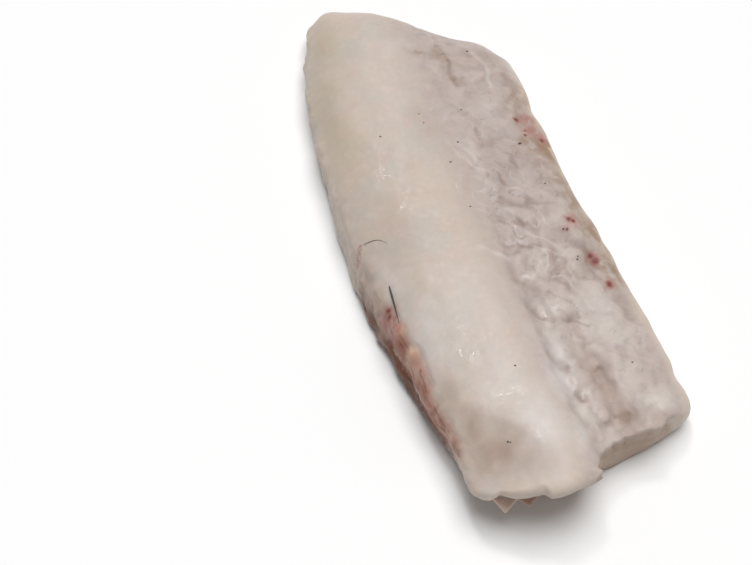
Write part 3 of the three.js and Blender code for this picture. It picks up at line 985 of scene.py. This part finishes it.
def flesh_material():
    """Mottled flesh, grey on the lumpy side, red and brown on the left wall, stained and moist."""
    material, tree, shader, place = new_material("raw_cod_flesh")
    noises = {}
    for name, (stretch, size, detail) in NOISES.items():
        noises[name] = noise(tree, stretched(tree, place, stretch), size, detail)[0]
    wander = pushes(tree, place, WANDER_SIZE)
    plan, plan_wander = (stretched(tree, vector, (1, 1, 0)) for vector in (place, wander))

    flesh = laid(tree, noises, WARM_FLESH, FLESH_TINTS)
    flesh = tinted(tree, flesh, laid(tree, noises, LEAN_FLESH, LEAN_TINTS), field(tree, "lean"))
    flesh = laid(tree, noises, flesh, PLACE_TINTS)
    flesh = tinted(tree, flesh, laid(tree, noises, CUT_FLESH, CUT_TINTS), field(tree, "cut"))
    flesh = laid(tree, noises, flesh, LINE_TINTS)
    threads = {}
    for tint, name, width, span, strength in THREADS:
        apart = reckoned(tree, "ABSOLUTE", reckoned(tree, "SUBTRACT", noises[name], 0.5))
        lines = times(tree, ramp(tree, apart, width, 0.0), field(tree, "lean"))
        threads[name] = times(tree, lines, ramp(tree, noises["small"], *span))
        flesh = tinted(tree, flesh, tint, times(tree, threads[name], strength))
    drifted = moved(tree, place, pushes(tree, place, DRIFT_SIZE), DRIFT_REACH)
    flesh = tinted(tree, flesh, skin_side(tree, drifted, noises["middling"]), field(tree, "under"))

    wandered = moved(tree, place, wander, BROWN_WANDER)
    level = add_node(tree, "SeparateXYZ", {"Vector": wandered}).outputs["Z"]
    wall = laid(tree, noises, WALL_PINK, WALL_TINTS)
    wall = tinted(tree, wall, WALL_BROWN, ramp(tree, level, *BROWN_LEVELS))
    flesh = tinted(tree, flesh, wall, field(tree, "red_wall"))
    flesh = tinted(tree, flesh, GOLD, times(tree, field(tree, "gold"), GOLD_STRENGTH))

    for tint, strength, reach, span, spots in BLOOD:
        shown = times(tree, field(tree, "upper"), ramp(tree, noises["fine"], *span))
        mask = times(tree, shown, stains(tree, moved(tree, plan, plan_wander, reach), spots))
        flesh = tinted(tree, flesh, tint, times(tree, mask, strength))
    value = add_node(tree, "MapRange", {"Value": noises["fine"]} | BRIGHTNESS).outputs["Result"]
    shade = add_node(tree, "HueSaturation", {"Color": flesh, "Value": value})
    tree.links.new(shade.outputs["Color"], shader.inputs["Base Color"])

    for name, number in SURFACE.items():
        shader.inputs[name].default_value = number
    wet = times(tree, ramp(tree, noises["middling"], *WET_MIDDLING), ramp(tree, noises["fine"], *WET_FINE))
    wet_places = times(tree, field(tree, "wet"), ramp(tree, noises["fine"], *WET_PLACE_FINE))
    coat = reckoned(tree, "MAXIMUM", times(tree, wet, WET_WEIGHT), wet_places)
    tree.links.new(coat, shader.inputs["Coat Weight"])
    grain = add_node(tree, "Bump", {"Height": noises["grain"]} | GRAIN_BUMP).outputs["Normal"]
    veined = add_node(tree, "Bump", {"Height": threads["veins"], "Normal": grain} | VEIN_BUMP, invert=True)
    tree.links.new(veined.outputs["Normal"], shader.inputs["Normal"])
    drops = add_node(tree, "Bump", {"Height": noises["drops"]} | DROP_BUMP)
    tree.links.new(drops.outputs["Normal"], shader.inputs["Coat Normal"])
    return material


flesh = flesh_material()
loin.data.materials.append(flesh)
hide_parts("loin")
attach(loin, "root")

# The torn flaps
# Two shreds of flesh that the knife left hanging under the notch in the ridge's lip, still joined to the cut
# end. Each is thin and runs to a point: its root's middle, its tip, and its width and thickness at the root.
FLAPS = (
    ((-27.2, -107.5, 18), (-29.2, -114.8, 14), 15, 1.6),
    ((-19.4, -108.5, 18), (-20.2, -114.6, 14), 19, 1.8),
)
FLAP_RINGS = 14
FLAP_SIDES = 16
FLAP_TIP = 0.96
FLAP_WAVES = 3
FLAP_WAVER = 0.5

# Only the second one has the colour of the cut, with painted shade, as it hangs in the lip's shadow
FLAP_CUT = (0.0, 1.0)
FLAP_SHADE = (0.0, 0.5)


def square_to(ahead):
    """The level way and the upper way that are square to a way."""
    side = np.cross(ahead, (0, 0, 1))
    side /= np.linalg.norm(side, axis=-1, keepdims=True)
    return side, np.cross(side, ahead)


def flap_grid(root, tip, width, thickness):
    """A flat shred: oval rings, wavering aside, whose width falls evenly and whose thickness falls slowly."""
    share = np.linspace(0, FLAP_TIP, FLAP_RINGS)[:, None]
    root, tip = np.array(root), np.array(tip)
    side, above = square_to((tip - root) / np.linalg.norm(tip - root))
    turn = np.linspace(0, 2 * np.pi, FLAP_SIDES, endpoint=False)[None]
    middle = (root + share * (tip - root))[:, None]
    waver = FLAP_WAVER * swells(FLAP_WAVES * share + width, 0 * turn)
    flat = width / 2 * (1 - share) * np.sin(turn) + waver
    high = thickness / 2 * np.sqrt(1 - share) * np.cos(turn)
    return middle + flat[..., None] * side + high[..., None] * above


flap_grids = np.array([flap_grid(*flap) for flap in FLAPS])
flap_fields = {}
for flap_field, flap_values in (("cut", FLAP_CUT), ("hollow_shade", FLAP_SHADE)):
    flap_fields[flap_field] = np.broadcast_to(np.array(flap_values)[:, None, None], flap_grids.shape[:3])
flaps = closed_mesh("torn_flaps", flap_grids, flap_fields)
flaps.data.materials.append(flesh)
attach(flaps, "root")

# The stray hairs
# Two short dark hairs that lie on the shoulder of the ridge, stuck to the moist flesh. Each is a thin tube
# that tapers to both tips: places seen from above, and its largest radius.
HAIRS = {
    "hair_thin": (((-45.0, 2.8), (-42.7, 1.8), (-39.9, 0.4), (-37.3, -2.4)), 0.1),
    "hair_thick": (((-42.3, -18.4), (-43.2, -33.4)), 0.36),
}
HAIR_STEPS = 48
HAIR_SIDES = 8
HAIR_LIFT = 0.15
HAIR_TIP = 0.25
HAIR_COLOURS = (colour(38, 32, 30), colour(66, 56, 50))
HAIR_MOTTLE = 0.6
HAIR_THICKEST = 0.35
HAIR_TAPER = 0.35
DARK_SPAN = (0.35, 0.65)
DARK_ROUGHNESS = 0.45


def on_loin(places):
    """The points of the loin's upper side that lie nearest to places seen from above."""
    upper = loin_points[loin_fields["upper"] > 0.99]
    apart = np.linalg.norm(upper[None, :, :2] - np.asarray(places)[:, None, :2], axis=-1)
    return upper[np.argmin(apart, axis=1)]


def hair_grid(places, thickest):
    """A tube: rings square to a smooth curve through the places, thickest a third of the way along."""
    share = np.linspace(0, 1, HAIR_STEPS)
    middle = curve(on_loin(places), share)
    radius = thickest * blend(HAIR_TIP, 1, bell(share - HAIR_THICKEST, HAIR_TAPER))
    middle[:, 2] += radius + HAIR_LIFT
    ahead = np.gradient(middle, axis=0)
    ahead /= np.linalg.norm(ahead, axis=-1, keepdims=True)
    side, above = square_to(ahead)
    turn = np.linspace(0, 2 * np.pi, HAIR_SIDES, endpoint=False)[None, :, None]
    ring = np.cos(turn) * above[:, None] + np.sin(turn) * side[:, None]
    return middle[:, None] + radius[:, None, None] * ring


def dark_material(name, low, high, size):
    """A dark, slightly glossy matter that drifts between two colours."""
    material, tree, shader, place = new_material(name)
    mottle = ramp(tree, noise(tree, place, size)[0], *DARK_SPAN)
    tree.links.new(tinted(tree, low, high, mottle), shader.inputs["Base Color"])
    shader.inputs["Roughness"].default_value = DARK_ROUGHNESS
    return material


hair_material = dark_material("dark_hair", *HAIR_COLOURS, HAIR_MOTTLE)
for hair_name, (hair_places, hair_radius) in HAIRS.items():
    hair = closed_mesh(hair_name, [hair_grid(hair_places, hair_radius)])
    hair.data.materials.append(hair_material)
    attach(hair, "root")

# The specks
# A few dark grains of peppery dirt on the bone side: flattened grains, half sunk in the moist flesh. Each is
# a place seen from above, and its half width and half length.
SPECKS = (
    (21.1, 75.7, 0.45, 0.35), (8.8, 48, 0.3, 0.3), (2.3, 32.7, 0.45, 0.4), (25.9, 26.7, 0.9, 0.45),
    (28.7, 5.6, 0.35, 0.3), (29.3, -28.6, 0.4, 0.3), (-25.6, 43.4, 0.35, 0.35), (-9.9, -67.6, 0.35, 0.35),
    (33.9, -75.3, 0.4, 0.3), (-22.1, -94.1, 0.4, 0.35), (-20.9, -94.3, 0.3, 0.25), (-8.1, 50.3, 0.3, 0.2),
    (-7.2, 45, 0.3, 0.22), (-3.7, 23.4, 0.6, 0.25), (-3, 2.6, 0.55, 0.2), (28.2, -16, 0.5, 0.3),
    (29.6, -17, 0.6, 0.25), (28.7, -29.9, 0.5, 0.35),
)
SPECK_RINGS = 6
SPECK_SIDES = 10
SPECK_HEIGHT = 0.22
SPECK_COLOURS = (colour(44, 36, 32), colour(74, 60, 52))
SPECK_MOTTLE = 0.4


def speck_grids():
    """Flattened balls: rings of latitude, stretched to each grain's width, length and height."""
    tilt = np.linspace(0, np.pi, SPECK_RINGS + 2)[1:-1, None]
    turn = np.linspace(0, 2 * np.pi, SPECK_SIDES, endpoint=False)[None]
    across, along = -np.sin(turn) * np.sin(tilt), np.cos(turn) * np.sin(tilt)
    ball = np.stack([across, along, 0 * turn - np.cos(tilt)], axis=-1)
    specks = np.array(SPECKS)
    sizes = np.concatenate([specks[:, 2:], np.full((len(specks), 1), SPECK_HEIGHT)], axis=1)
    return on_loin(specks)[:, None, None] + sizes[:, None, None] * ball


specks = closed_mesh("specks", speck_grids())
specks.data.materials.append(dark_material("dark_grain", *SPECK_COLOURS, SPECK_MOTTLE))
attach(specks, "root")

# The table
# A plain white work top, wide enough to fill the view.
TABLE_REACH = 3.0
TABLE_WHITE = colour(248, 248, 248)
TABLE_ROUGHNESS = 0.8
table_mesh = bpy.data.meshes.new("table")
table_sides = ((-1, -1), (1, -1), (1, 1), (-1, 1))
table_corners = [(x * TABLE_REACH, y * TABLE_REACH, 0) for x, y in table_sides]
table_mesh.from_pydata(table_corners, [], [(0, 1, 2, 3)])
table = bpy.data.objects.new("table", table_mesh)
bpy.context.scene.collection.objects.link(table)
table_material = bpy.data.materials.new("white_table")
table_material.use_nodes = True
table_look = table_material.node_tree.nodes["Principled BSDF"].inputs
table_look["Base Color"].default_value = TABLE_WHITE
table_look["Roughness"].default_value = TABLE_ROUGHNESS
table_mesh.materials.append(table_material)

# The light
# A soft white room, one wide lamp above, and a small one behind the far end that glints in the moist flesh.
ROOM_LIGHT = 0.22
world = bpy.data.worlds.new("soft_room")
bpy.context.scene.world = world
world.use_nodes = True
room = world.node_tree.nodes["Background"].inputs
room["Color"].default_value = (1, 1, 1, 1)
room["Strength"].default_value = ROOM_LIGHT

# Each lamp: the side that it stands on, the angle that it fills, and its power
LAMPS = {
    "wide_lamp": ((0.15, 0.12, 1), 40, 2.25),
    "small_lamp": ((0.0, 0.46, 0.86), 8, 0.45),
}
for lamp_name, (side, angle, power) in LAMPS.items():
    lamp_data = bpy.data.lights.new(lamp_name, "SUN")
    lamp_data.angle = math.radians(angle)
    lamp_data.energy = power
    lamp = bpy.data.objects.new(lamp_name, lamp_data)
    lamp.rotation_euler = (-Vector(side)).to_track_quat("-Z", "Y").to_euler()
    bpy.context.scene.collection.objects.link(lamp)

# The camera
# It looks down over the near end from the left, at the photograph's angle.
AZIMUTH = math.radians(-23.4)
ELEVATION = math.radians(60)
DISTANCE = 0.8
AIM = Vector((-0.0424, -0.0028, 0))
camera_data = bpy.data.cameras.new("camera")
camera_data.lens = 97.2
camera_data.sensor_width = 36
camera = bpy.data.objects.new("camera", camera_data)
camera.location = DISTANCE * Vector((
    math.sin(AZIMUTH) * math.cos(ELEVATION), -math.cos(AZIMUTH) * math.cos(ELEVATION), math.sin(ELEVATION)))
camera.rotation_euler = (AIM - camera.location).to_track_quat("-Z", "Y").to_euler()
bpy.context.scene.collection.objects.link(camera)
bpy.context.scene.camera = camera
bpy.context.scene.view_settings.view_transform = "Standard"
